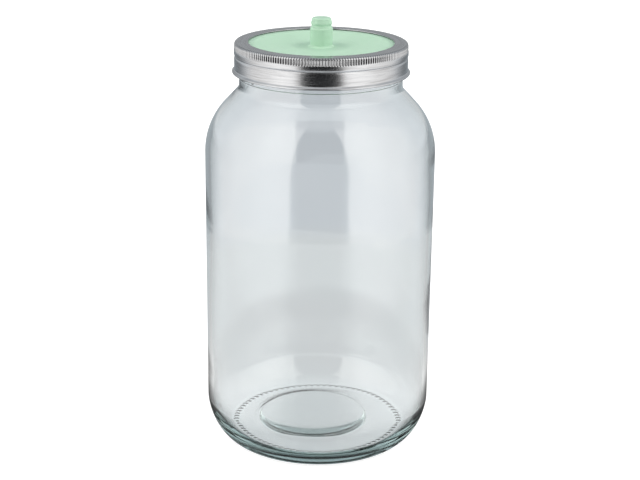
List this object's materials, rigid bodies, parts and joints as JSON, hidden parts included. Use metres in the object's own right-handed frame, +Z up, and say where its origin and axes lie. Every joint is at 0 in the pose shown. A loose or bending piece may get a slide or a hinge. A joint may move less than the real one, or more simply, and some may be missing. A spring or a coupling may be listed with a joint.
{
  "type": "fermentation jar",
  "caption": "Wide-mouth clear glass jar with a round shoulder and short neck, closed by a steel screw band over a soft silicone disc lid with a valve nozzle.",
  "frame": {"origin": "centre of the base, on the plane that the jar stands on", "axes": "+Z up along the jar's axis, through the nozzle of the lid; +X and +Y are level, and the jar is round about Z"},
  "size_m": [0.152, 0.152, 0.288],
  "materials": {
    "glass": "clear, gloss, faint grey-green in the thick base",
    "steel": "satin rolled sheet, ribbed at its top edge",
    "silicone": "matte pale mint"
  },
  "bodies": {
    "root": {"glass_jar": "glass", "screw_band": "steel", "valve_lid": "silicone"}
  },
  "joints": []
}
